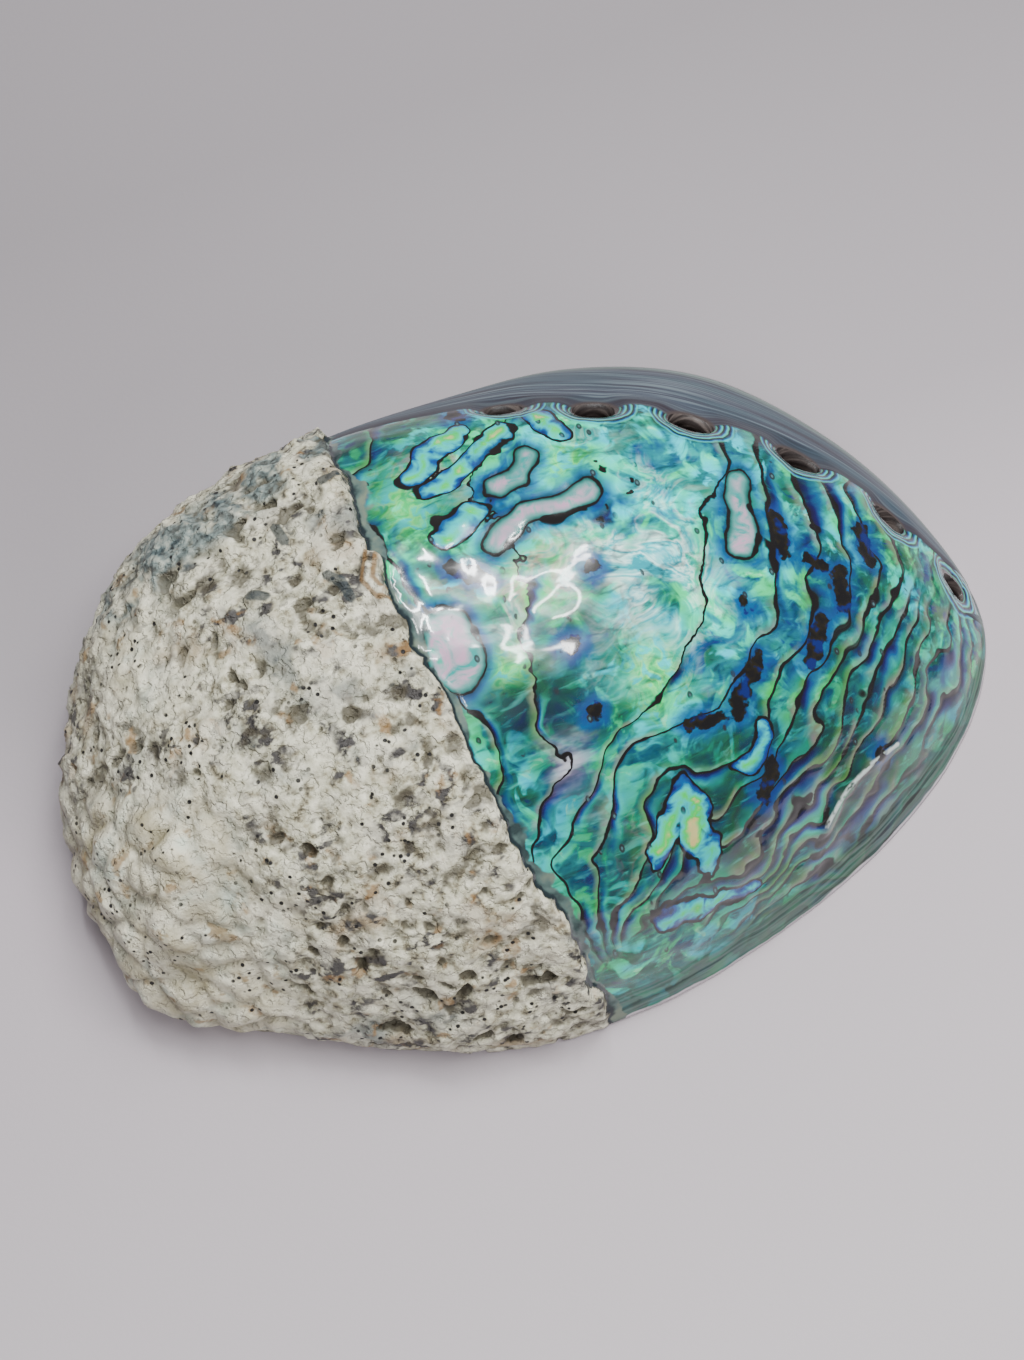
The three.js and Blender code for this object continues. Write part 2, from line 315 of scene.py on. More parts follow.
# %% The sheet of growth levels
LEVELS = {
    -2: [(-13, 35), (-13, 22), (-9, -4), (-8, -16)],
    -1: [(19, 35), (22, 28), (26, 20), (22, 14), (14, 13), (10, 9), (5, 3), (3, -4), (0, -12), (3, -17)],
    0: [(43, 23), (37, 14), (29, 1), (28, -4), (23, -7), (15, -13), (5, -20), (-5, -28), (-4, -34),
        (-4, -46)],
    1.5: [(50, 19), (46, 5), (40, -8), (32, -16), (24, -20), (13, -20), (9, -24), (4, -31), (0, -38)],
    3: [(57, 13), (52, 0), (46, -12), (32, -24), (20, -30), (8, -38)],
    5: [(63, 12), (60, -2), (54, -11), (44, -20), (30, -31), (13, -38)],
    7: [(67, 6), (63, -8), (56, -18), (44, -28), (30, -36), (12, -43)],
    9: [(70, 0), (67, -12), (58, -24), (44, -34), (27, -41), (8, -47)],
    11: [(73, -6), (71, -15), (64, -25), (49, -36), (28, -44), (4, -50)],
}


def level_sheet(points):
    known = np.array([p for row in LEVELS.values() for p in row], float)
    value = np.array([level for level, row in LEVELS.items() for _ in row], float)

    def bend(a, b):
        r2 = ((a[:, None, :] - b[None, :, :]) ** 2).sum(2)
        return 0.5 * r2 * np.log(np.maximum(r2, 1e-9))

    ones = np.column_stack([np.ones(len(known)), known])
    top = np.hstack([bend(known, known) + 0.5 * np.eye(len(known)), ones])
    low = np.hstack([ones.T, np.zeros((3, 3))])
    solved = np.linalg.solve(np.vstack([top, low]), np.concatenate([value, np.zeros(3)]))
    flat = np.column_stack([np.ones(len(points)), points[:, :2]])
    bent = [bend(part, known) @ solved[:-3] for part in np.array_split(points[:, :2], 20)]
    return np.concatenate(bent) + flat @ solved[-3:]


print("growth lines known:", len(LEVELS), "level at the crown:", level_sheet(CROWN[None, :]).round(2))

# %% [markdown]
# ## Islands, eyes and scars
# Bumps that were ground through show as closed loops: pale islands with a dark rim. Worms that bored in
# and were sealed off show as dark eyes. Each is a short chain of plan points and a radius.

# %% Marks on the polished half
ISLANDS = [
    ([(2, 17), (7, 20), (13, 20), (18, 20.5)], 1.9),
    ([(41, 17), (37, 6)], 1.9),
    ([(11, 29.5), (9, 26), (5, 25.5)], 1.6),
    ([(-9, 7), (-9, 1)], 3.8),
]
LOOPS = [
    ([(-6, 33), (-1, 35.5), (2, 36)], 2.2),
    ([(-3, 29), (4, 31), (9, 33.5)], 1.8),
    ([(16, 36), (17.5, 33)], 2.4),
    ([(9, -32), (14, -29), (16, -26)], 2.0),
    ([(17, -27), (16, -33)], 2.4),
    ([(8, -41), (22, -38)], 1.3),
    ([(-5, 21), (1, 23)], 1.7),
    ([(30, -20), (26, -24)], 1.7),
]
DARK_SPOTS = [
    ([(-5, 15.5), (-2, 13), (-1, 12)], 1.3),
    ([(44, 10), (43, 4)], 1.3),
    ([(46, 2), (48, 0)], 1.1),
    ([(34, -2), (34, -4)], 0.8),
    ([(45, -8), (41, -13)], 1.5),
    ([(50, -1), (49, -6)], 1.4),
    ([(33, -11), (27, -17)], 1.2),
    ([(25, -17), (20, -17)], 1.1),
    ([(14, 9)], 1.5),
    ([(7, -1)], 1.7),
    ([(7, -11)], 1.3),
    ([(48, -28)], 1.2),
    ([(4, 41)], 1.8),
    ([(57, 4), (56, 0)], 1.4),
    ([(30, -25), (27, -29)], 1.3),
]
SCAR = [(51, -27), (46, -28.5), (41, -31), (36, -35)]
TAN_TUBES = [[(-15, 21), (-17, 17), (-16, 14.5), (-14, 14)]]
DARK_TUBES = [
    [(-22, 19.5), (-20.5, 18), (-20, 15)],
    [(-26.5, 29.5), (-26, 27)],
    [(-18, 33.5), (-16, 34)],
    [(-33, 21), (-31, 20)],
]


def marks(points, shapes):
    return np.min([chain_distance(points, chain) - radius for chain, radius in shapes], axis=0)


print("islands:", len(ISLANDS), "loops:", len(LOOPS), "dark spots:", len(DARK_SPOTS))

# %% [markdown]
# ## The crust's relief
# The crust is many small growths on top of each other, so its relief is a sum: broad lumps, grains,
# pits and flakes, and smooth packed bumps over the spire. The spire itself shows only as a low coil.

# %% Relief of the crust
def spire_relief(points):
    away = np.linalg.norm(points[:, :2] - SPIRE, axis=1)
    angle = np.arctan2(points[:, 1] - SPIRE[1], points[:, 0] - SPIRE[0])
    winding = np.log(np.maximum(away, 1)) / 0.34 + angle
    groove = 1.5 * (0.5 + 0.5 * np.cos(winding)) ** 3 * smooth_step(0, 2, away)
    return (3.8 * np.exp(-((away / 12.5) ** 2)) - groove) * (1 - smooth_step(4, 17, away))


def crust_grain(points):
    """The crust's fine ups and downs: grains, pits and flakes, or rounded bumps where it is smooth."""
    grain = 0.65 * noise_of(points, 3.4, 1, 4) + 0.32 * noise_of(points, 1.4, 2)
    pitted = smooth_step(-0.3, 0.3, noise_of(points, 9, 4))
    pits = -1.4 * smooth_step(0.24, 0.5, noise_of(points, 2.4, 3)) * pitted
    flakes = 0.5 * np.round(2 * noise_of(points, 7, 5, 3)) / 2
    waves = 0.7 * noise_of(points, 8, 7) + 0.3 * noise_of(points, 2.4, 6)
    blobs = 1.6 * rounded_cells(points, 6.0) + waves - 0.8
    smooth = blobby(points)
    return (1 - smooth) * (grain + pits + flakes) + smooth * blobs


def crust_thickness(points):
    low_lump = np.linalg.norm(points[:, :2] - np.array([-67, -24]), axis=1)
    high_lump = np.linalg.norm(points[:, :2] - np.array([-48, 34]), axis=1)
    thick = 1.9 + 2.4 * (1 - smooth_step(0, 15, low_lump)) + 1.7 * (1 - smooth_step(0, 26, high_lump))
    thick += 0.9 * smooth_step(-40, -72, points[:, 0])
    return thick + 1.1 * noise_of(points, 12, 8, 2)


def blobby(points):
    """Where the crust is the smooth, rounded kind: over the spire and the flank below it."""
    away = np.linalg.norm((points[:, :2] - np.array([-66, -19])) * np.array([1.0, 0.85]), axis=1)
    return 1 - smooth_step(17, 25, away + 5 * noise_of(points, 9, 9))


def rounded_cells(points, size):
    """Low rounded bumps packed side by side, 1 at their tops and 0 in the creases between."""
    gaps = [noise.voronoi(Vector(p) / size)[0] for p in points]
    return np.array([min(1, 1.5 * (gap[1] - gap[0])) ** 0.8 for gap in gaps])


crown_point = np.array([[*CROWN, CROWN_HEIGHT]])
print("crust at the crown, mm:", crust_thickness(crown_point).round(2))

# %% [markdown]
# ## The polished relief
# Hand grinding leaves shallow waves, and softer sheets wear down a little along each growth line. These
# waves matter more than any colour: they are what breaks the shine into bright squiggles.

# %% Relief of the polish
def polish_relief(points, levels, islands):
    waves = 0.34 * noise_of(points, 9, 10) + 0.26 * noise_of(points, 4.6, 11)
    waves += 0.07 * noise_of(points, 2.2, 31)
    near_line = np.abs(levels - np.round(levels))
    crease = -0.10 * (1 - smooth_step(0, 0.1, near_line))
    rims = -0.12 * np.exp(-((islands / 0.8) ** 2))
    scar = chain_distance(points, SCAR)
    fold = 0.5 * np.exp(-((scar / 1.0) ** 2))
    return waves + crease + rims + fold


print("polish at the crown, mm:", polish_relief(crown_point, np.zeros(1), np.full(1, FAR)).round(2))

# %% [markdown]
# ## The outside surface
# The plain bowl is pushed out along its normals: by the crust's relief on one side of the ragged edge,
# and by the polish's on the other. The side wall begins at the row of holes, so the row's place down
# each profile is found first. The rim keeps its height, because the shell stands on it.

# %% Raise the outside
NORMAL_STEP = 0.003


def grid_normals(turn, t):
    step = NORMAL_STEP
    below = surface(turn, np.minimum(t + step, 1), outer_controls)
    above = surface(turn, np.maximum(t - step, 0), outer_controls)
    ahead = surface(turn + step, t, outer_controls)
    behind = surface(turn - step, t, outer_controls)
    normal = np.cross(below - above, ahead - behind)
    normal[0] = (0, 0, 1)
    return normal / np.linalg.norm(normal, axis=1)[:, None]


def hole_line(turn):
    """How far down each profile the row of holes runs."""
    nearest = [np.argmin(np.linalg.norm(bare - pore[:3], axis=1)) for pore in PORES]
    order = sorted(nearest, key=lambda index: turn_out[index])
    return np.interp(turn, turn_out[order], t_out[order])


turn_out, t_out = ring_places(RINGS_OUT)
bare = surface(turn_out, t_out, outer_controls)
normal = grid_normals(turn_out, t_out)
ragged = 1.5 * noise_of(bare, 7, 12) + 0.9 * noise_of(bare, 2.4, 13)
side = crust_side(bare, ragged)
crusted = 1 - smooth_step(-0.9, -0.1, side)
warp = np.column_stack([
    2.6 * noise_of(bare, 13, 14) + 1.7 * noise_of(bare, 5.5, 15) + 0.5 * noise_of(bare, 2.2, 27),
    2.6 * noise_of(bare, 13, 16) + 1.7 * noise_of(bare, 5.5, 17) + 0.5 * noise_of(bare, 2.2, 28),
    np.zeros(len(bare)),
])
levels = level_sheet(bare + warp) + 0.55 * noise_of(bare, 19, 29) * smooth_step(25, 45, bare[:, 0])
islands = marks(bare + 0.55 * warp, ISLANDS)
loops = marks(bare + 0.9 * warp, LOOPS)
spots = marks(bare + 0.35 * warp, DARK_SPOTS)
pores = pore_distance(bare)
tubes = np.min([chain_distance(bare, chain) for chain in TAN_TUBES], axis=0)
worms = np.min([chain_distance(bare, chain) for chain in DARK_TUBES], axis=0)
flank_share = smooth_step(-0.01, 0.04, turn_out) * (1 - smooth_step(0.42, 0.5, turn_out))
flank_share = np.maximum(flank_share, smooth_step(0.985, 1.0, turn_out))
wall_starts = hole_line(turn_out)
flank = (t_out - wall_starts) * 100 * flank_share - 30 * (1 - flank_share)
row_out = station_at(turn_out)
rim_gap = np.linalg.norm(bare - row_out[:, [0, 1, 6]], axis=1)
grains = crust_grain(bare)
tube_rise = 0.8 * np.sqrt(np.clip(1 - (np.minimum(tubes, worms) / 1.1) ** 2, 0, 1))
rise = crusted * (crust_thickness(bare) + grains + tube_rise)
polish = polish_relief(bare, levels, np.minimum(islands, loops))
rise += (1 - crusted) * polish * (1 - smooth_step(-2, 3, flank))
rise += spire_relief(bare) * crusted
rise += (1 - crusted) * (-0.9 * np.exp(-((np.maximum(pores, 0) / 1.6) ** 2)))
rise *= np.where(t_out > 0.93, 1 - 0.6 * smooth_step(0.93, 1.0, t_out), 1)
outside = bare + normal * rise[:, None]
outside[:, 2] = np.maximum(outside[:, 2], row_out[:, 6])
outside[t_out == 1, 2] = row_out[t_out == 1, 6]
print("outside points:", len(outside), "height mm:", round(outside[:, 2].max(), 1))

# %% [markdown]
# ## The inside surface
# Inside, nothing was ground: the animal left it smooth. It has soft waves, a large round muscle scar
# under the crown, and the shelf under the hole row.

# %% Raise the inside
MUSCLE = np.array([2.0, -2.0])
turn_in, t_in = ring_places(RINGS_IN)
inside = surface(turn_in, t_in, inner_controls)
muscle_away = np.linalg.norm((inside[:, :2] - MUSCLE) * np.array([0.85, 1.0]), axis=1)
muscle_away = muscle_away + 2.2 * noise_of(inside, 9, 18)
inner_waves = 0.45 * noise_of(inside, 12, 19) + 0.15 * noise_of(inside, 5, 20)
muscle_step = 0.5 * (1 - smooth_step(15, 17, muscle_away)) * (1 + 0.4 * noise_of(inside, 2.5, 21))
coil_away = np.linalg.norm(inside[:, :2] - SPIRE, axis=1)
coil = 1.6 * np.exp(-((coil_away / 7) ** 2)) * (t_in < 0.75)
inside[:, 2] += (inner_waves - muscle_step + coil) * (1 - smooth_step(0.6, 0.85, t_in))
crust_rim = (1 - smooth_step(-0.9, -0.1, crust_side(inside, np.zeros(len(inside))))) * (t_in == 1)
away_from_crown = inside[:, :2] - CROWN
crown_gap = np.maximum(np.linalg.norm(away_from_crown, axis=1), 1)
inside[:, :2] += away_from_crown * (crust_rim / crown_gap)[:, None]
print("inside points:", len(inside))

# %% [markdown]
# ## One closed skin
# The two surfaces meet at the flat of the lip. The inside has half as many points, so each of its steps
# meets two of the outside's. The flat map gives the outside most of the room.

# %% Join the two surfaces
LIP_STRIP = (0.307, 0.300)
HOLE_STRIP = (0.2935, 0.2965)
MARGIN, SPAN = 0.01, 0.98


def rim_faces(shift):
    step = np.arange(8 * RINGS_IN)
    a, b, c = (ring_index(RINGS_OUT, 2 * step + more) for more in (0, 1, 2))
    d = ring_index(RINGS_IN, step) + shift
    e = ring_index(RINGS_IN, step + 1) + shift
    return np.concatenate([np.column_stack(face) for face in ((a, d, b), (b, d, e), (b, e, c))])


def lip_corners():
    """The lip's own narrow strip of the flat map."""
    step = np.arange(8 * RINGS_IN)
    a, b, c, d, e = (2 * step, 2 * step + 1, 2 * step + 2, 2 * step, 2 * step + 2)
    top, low = LIP_STRIP
    rows = []
    first = ((a, top), (d, low), (b, top))
    second = ((b, top), (d, low), (e, low))
    third = ((b, top), (e, low), (c, top))
    for face in (first, second, third):
        rows.append(np.stack([np.column_stack([MARGIN + SPAN * u / (16 * RINGS_IN), np.full(len(u), v)])
                              for u, v in face], axis=1))
    return np.concatenate(rows).reshape(-1, 2)


def new_mesh(name, points, faces):
    mesh = bpy.data.meshes.new(name)
    mesh.from_pydata((points * MM).tolist(), [], faces.tolist())
    mesh.update()
    return mesh


def add_flat_map(mesh, corners):
    layer = mesh.uv_layers.new(name="OFBake")
    layer.data.foreach_set("uv", corners.astype(np.float32).ravel())


shift = len(outside)
outer_faces = ring_faces(RINGS_OUT)
inner_faces = ring_faces(RINGS_IN)[:, ::-1] + shift
lip_faces = rim_faces(shift)
faces = np.concatenate([outer_faces, inner_faces, lip_faces])
points = np.concatenate([outside, inside]) - np.array([*MIDDLE, 0])
mesh = new_mesh("abalone_shell_skin", points, faces)
flat_out = square_map(turn_out, t_out) * np.array([0.49, 0.34]) + np.array([0.5, 0.655])
flat_in = square_map(turn_in, t_in) * np.array([0.49, 0.14]) + np.array([0.5, 0.15])
flat = np.concatenate([flat_out, flat_in])
corners = np.concatenate([flat[faces[:-len(lip_faces)].ravel()], lip_corners()])
add_flat_map(mesh, corners)
skin = bpy.data.objects.new("abalone_shell_skin", mesh)
bpy.context.scene.collection.objects.link(skin)
part = np.concatenate([np.zeros(len(outer_faces)), np.ones(len(inner_faces)), np.full(len(lip_faces), 2)])
print("triangles:", len(faces))

# %% [markdown]
# ## The breathing holes
# The holes are cut through the finished skin with leaning oval bars, as a drill would leave them. A real
# boolean keeps the skin closed and gives each hole a wall of the right thickness.

# %% Cut the holes
def pore_bar(index, sides=40, reach=11.0):
    length, axis, across = pore_axes(index)
    angle = np.arange(sides) * 2 * math.pi / sides
    pore = PORES[index]
    wobble = 1 + 0.05 * np.sin(2 * angle + index) + 0.03 * np.sin(3 * angle + 2 * index)
    ring = np.outer(np.cos(angle) * wobble, length) * pore[3]
    ring += np.outer(np.sin(angle) * wobble, across) * pore[4]
    middle = pore[:3] - np.array([*MIDDLE, 0])
    ends = np.concatenate([ring - axis * reach, ring + axis * reach]) + middle
    walls = [(i, (i + 1) % sides, sides + (i + 1) % sides, sides + i) for i in range(sides)]
    caps = [tuple(range(sides))[::-1], tuple(range(sides, 2 * sides))]
    bar = bpy.data.meshes.new(f"pore_bar_{index}")
    bar.from_pydata((ends * MM).tolist(), [], walls + caps)
    outward = bar.polygons[0].center - Vector(middle * MM)
    if bar.polygons[0].normal.dot(outward) < 0:
        bar.flip_normals()
    corners = [loop.vertex_index for loop in bar.loops]
    spots = [(MARGIN + SPAN * (i % sides) / sides, HOLE_STRIP[i >= sides]) for i in corners]
    add_flat_map(bar, np.array(spots))
    bar.polygons.foreach_set("material_index", np.full(len(bar.polygons), HOLE, dtype=np.int32))
    return bpy.data.objects.new(bar.name, bar)


OUTSIDE, INSIDE, LIP, HOLE = range(4)
for name in ("shell_outside", "shell_inside", "shell_lip", "shell_hole"):
    mesh.materials.append(bpy.data.materials.new(name))
mesh.polygons.foreach_set("material_index", part.astype(np.int32))
for index in range(len(PORES)):
    bar = pore_bar(index)
    for material in mesh.materials:
        bar.data.materials.append(material)
    bpy.context.scene.collection.objects.link(bar)
    cut = skin.modifiers.new(f"cut_{index}", "BOOLEAN")
    cut.operation = "DIFFERENCE"
    cut.solver = "MANIFOLD"
    cut.object = bar
bpy.context.view_layer.update()
cut_mesh = bpy.data.meshes.new_from_object(skin.evaluated_get(bpy.context.evaluated_depsgraph_get()))
skin.modifiers.clear()
skin.data = cut_mesh
cut_mesh.name = "abalone_shell_skin"
for bar in [thing for thing in bpy.data.objects if thing.name.startswith("pore_bar")]:
    bpy.data.objects.remove(bar)
cut_mesh.polygons.foreach_set("use_smooth", np.ones(len(cut_mesh.polygons), dtype=bool))
print("triangles after cutting:", len(cut_mesh.polygons), "materials:", [m.name for m in cut_mesh.materials])

# %% [markdown]
# ## What each point knows
# The finishes need to know where they are: how far from a growth line, a hole, the crust edge or the
# rim. Each point of the skin carries those distances, and the finishes read them. Distances blend well
# between points, so a line stays crisp even where the mesh is coarser than the line.

# %% Store the distances
def level_slope(points, levels, stride=0.6):
    """How many growth lines there are to a millimetre."""
    ahead = level_sheet(points + np.array([stride, 0, 0])) - levels
    beside = level_sheet(points + np.array([0, stride, 0])) - levels
    return np.clip(np.hypot(ahead, beside) / stride, 0.03, 0.8)


def near(points, x, y, wide, deep):
    return np.exp(-(((points[:, 0] - x) / wide) ** 2 + ((points[:, 1] - y) / deep) ** 2))


pale = 1.1 * near(bare, 21, 8, 12, 17) + 0.8 * near(bare, 0, 7, 10, 6) + 0.5 * near(bare, 11, 28, 11, 6)
warm = near(bare, 6, 11, 10, 7) + 0.8 * near(bare, -4, 33, 9, 5) + 0.9 * near(bare, 11, -31, 8, 5)
deep = 1.2 * near(bare, -1, -6, 9, 9) + 1.3 * near(bare, 32, -32, 36, 15) + 0.6 * near(bare, 52, -10, 10, 14)
deep += 0.8 * near(bare, -10, 37, 6, 7)
shine = near(bare, -3, -1, 4, 2.5) + near(bare, 17, -9, 4, 6)
shine += 0.8 * near(bare, -8, 27, 4, 6) + near(bare, 16, 27, 4, 4)
mauve = near(bare, 1, -18, 4, 6) + near(bare, -9, 1, 4, 5) + 0.6 * near(bare, 13, 1, 7, 6)
edge_band = rim_gap * (1 + 1.8 * near(bare, 74, 4, 22, 26))
dark_ridge = [(-50, 30), (-43, 33), (-35, 35), (-25, 39), (-14, 42)]
smooth_crust = np.maximum(blobby(bare), 0.8 * near(bare, -52, 20, 7, 10))


def on_outside(values, inside_value=9.0):
    """Values for the outside's points, and one plain value for all the inside's."""
    return np.concatenate([values, np.full(len(inside), inside_value)])


fields = {
    "crust": on_outside(side),
    "level": on_outside(levels),
    "slope": on_outside(level_slope(bare + warp, levels)),
    "island": on_outside(islands),
    "loop": on_outside(loops),
    "spot": on_outside(spots),
    "pore": np.concatenate([pores, pore_distance(inside)]),
    "flank": np.concatenate([flank, (t_in - 0.78) * 60]),
    "rim": np.concatenate([rim_gap, (1 - t_in) * 60]),
    "blob": on_outside(smooth_crust),
    "grains": on_outside(grains),
    "tube": on_outside(tubes),
    "ridge": on_outside(chain_distance(bare, dark_ridge)),
    "turn": np.concatenate([turn_out, turn_in]),
    "muscle": np.concatenate([np.full(len(outside), FAR), muscle_away]),
    "pale": on_outside(pale, 0),
    "warm": on_outside(warm, 0),
    "deep": on_outside(deep, 0),
    "shine": on_outside(shine, 0),
    "mauve": on_outside(mauve, 0),
    "edge_band": on_outside(edge_band),
    "worm": on_outside(worms),
    "scar": on_outside(chain_distance(bare, SCAR)),
}
tree = KDTree(len(points))
for index, point in enumerate(points):
    tree.insert(point, index)
tree.balance()
final = np.empty(len(cut_mesh.vertices) * 3, dtype=np.float32)
cut_mesh.vertices.foreach_get("co", final)
nearest = np.array([tree.find(point)[1] for point in final.reshape(-1, 3) / MM])
for name, values in fields.items():
    layer = cut_mesh.attributes.new(name, "FLOAT", "POINT")
    layer.data.foreach_set("value", values[nearest].astype(np.float32))
print("stored:", ", ".join(fields))

# %% [markdown]
# ## Small tools for finishes
# A finish is a graph of nodes. These helpers write one node a line, so the recipes below read in the
# order a painter would work: ground colour, patches, lines, then shine.

# %% Node helpers
def tone(red, green, blue):
    """A colour from screen values, turned into the light values that Blender mixes."""
    line = [c / 255 / 12.92 if c <= 10 else ((c / 255 + 0.055) / 1.055) ** 2.4 for c in (red, green, blue)]
    return (*line, 1.0)


class Nodes:
    """One material's nodes, with short names for the few that are used here."""

    def __init__(self, material):
        material.use_nodes = True
        self.tree = material.node_tree
        self.tree.nodes.clear()

    def add(self, kind, **settings):
        made = self.tree.nodes.new(kind)
        for key, value in settings.items():
            setattr(made, key, value)
        return made

    def feed(self, socket, value):
        if isinstance(value, bpy.types.NodeSocket):
            self.tree.links.new(value, socket)
        else:
            socket.default_value = value

    def field(self, name):
        return self.add("ShaderNodeAttribute", attribute_name=name).outputs["Fac"]

    def calc(self, operation, a, b=0.0, c=0.0):
        made = self.add("ShaderNodeMath", operation=operation)
        for socket, value in zip(made.inputs, (a, b, c)):
            self.feed(socket, value)
        return made.outputs[0]

    def times(self, a, b):
        return self.calc("MULTIPLY", a, b)

    def minus(self, a, b):
        return self.calc("SUBTRACT", a, b)

    def scaled(self, a, factor, extra):
        return self.calc("MULTIPLY_ADD", a, factor, extra)

    def step(self, value, low, high):
        """0 below low, 1 above high, smooth between; the other way round if low is above high."""
        made = self.add("ShaderNodeMapRange", interpolation_type="SMOOTHSTEP")
        self.feed(made.inputs[0], value)
        flipped = low > high
        for socket, number in zip(made.inputs[1:5], (min(low, high), max(low, high), flipped, not flipped)):
            socket.default_value = float(number)
        return made.outputs[0]

    def mix(self, share, a, b):
        made = self.add("ShaderNodeMix", data_type="RGBA")
        self.feed(made.inputs[0], share)
        self.feed(made.inputs[6], a)
        self.feed(made.inputs[7], b)
        return made.outputs[2]

    def ramp(self, value, *stops):
        """Colours along a value: each stop is a place and a red, green and blue screen value."""
        made = self.add("ShaderNodeValToRGB")
        self.feed(made.inputs[0], value)
        band = made.color_ramp
        while len(band.elements) < len(stops):
            band.elements.new(0.5)
        for element, (place, *colour) in zip(band.elements, stops):
            element.position = place
            element.color = tone(*colour)
        return made.outputs[0]


print("node words:", ", ".join(word for word in vars(Nodes) if not word.startswith("_")))

# %% [markdown]
# ## Patterns and shine
# Two patterns do nearly all the work. Noise gives clouds, grain and wavering edges; scattered cells give
# pinholes and borings. Both are measured in millimetres, so a size can be read off a real shell. The
# finish is one Principled shader: colour, roughness, a fine bump, and a clear coat where lacquer lies.

# %% Patterns and shine
RIM_LENGTH = 0.41
ACROSS_STEP = 0.0009


class Recipe(Nodes):
    """The words for patterns, corrections and the finish itself."""

    def bend(self, colour, power):
        """Darken the dark colours more than the light ones."""
        made = self.add("ShaderNodeGamma")
        self.feed(made.inputs["Color"], colour)
        made.inputs["Gamma"].default_value = power
        return made.outputs[0]

    def richer(self, colour, saturation, value):
        made = self.add("ShaderNodeHueSaturation")
        self.feed(made.inputs["Color"], colour)
        made.inputs["Saturation"].default_value = saturation
        made.inputs["Value"].default_value = value
        return made.outputs[0]

    def place(self):
        return self.add("ShaderNodeTexCoord").outputs["Object"]

    def noise(self, size, detail=2.0, stretch=(1, 1, 1), shift=0.0, twist=0.0, where=None):
        """Noise with features about size millimetres across."""
        fit = self.add("ShaderNodeMapping")
        self.feed(fit.inputs["Vector"], where or self.place())
        fit.inputs["Scale"].default_value = [1 / s for s in stretch]
        fit.inputs["Location"].default_value = (shift, shift * 0.7, shift * 1.3)
        made = self.add("ShaderNodeTexNoise")
        self.feed(made.inputs["Vector"], fit.outputs[0])
        made.inputs["Scale"].default_value = 1 / (size * MM)
        made.inputs["Detail"].default_value = detail
        made.inputs["Distortion"].default_value = twist
        return made.outputs["Fac"]

    def cells(self, size, stretch=(1, 1, 1)):
        """Distance to the nearest of many scattered points, about size millimetres apart."""
        fit = self.add("ShaderNodeMapping")
        self.feed(fit.inputs["Vector"], self.place())
        fit.inputs["Scale"].default_value = [1 / s for s in stretch]
        made = self.add("ShaderNodeTexVoronoi")
        self.feed(made.inputs["Vector"], fit.outputs[0])
        made.inputs["Scale"].default_value = 1 / (size * MM)
        return made.outputs["Distance"]

    def along_rim(self, across="flank"):
        """Millimetres round the rim and across it, for grain that follows the shell."""
        joined = self.add("ShaderNodeCombineXYZ")
        self.feed(joined.inputs[0], self.times(self.field("turn"), RIM_LENGTH))
        self.feed(joined.inputs[1], self.times(self.field(across), ACROSS_STEP))
        return joined.outputs[0]

    def finish(self, colour, rough, height=None, depth=0.2, coat=0.0, coat_rough=0.03):
        skin = self.add("ShaderNodeBsdfPrincipled")
        self.feed(skin.inputs["Base Color"], colour)
        self.feed(skin.inputs["Roughness"], rough)
        self.feed(skin.inputs["Coat Weight"], coat)
        skin.inputs["Coat Roughness"].default_value = coat_rough
        if height is not None:
            bump = self.add("ShaderNodeBump")
            bump.inputs["Distance"].default_value = depth * MM
            self.feed(bump.inputs["Height"], height)
            self.feed(skin.inputs["Normal"], bump.outputs[0])
        out = self.add("ShaderNodeOutputMaterial")
        self.feed(out.inputs[0], skin.outputs[0])


print("pattern words:", ", ".join(word for word in vars(Recipe) if not word.startswith("_")))

# %% [markdown]
# ## Nacre
# Nacre has no pigment: its colours come from light bouncing between thin layers, so they run in bands
# that follow the layers. Each dark growth line has a violet and blue shadow on one side that clears to
# cyan and green, and a pale edge on the other. Painting the bands from the distance to the line gives
# that order everywhere, and slow noise shifts the hues so no two bands match.

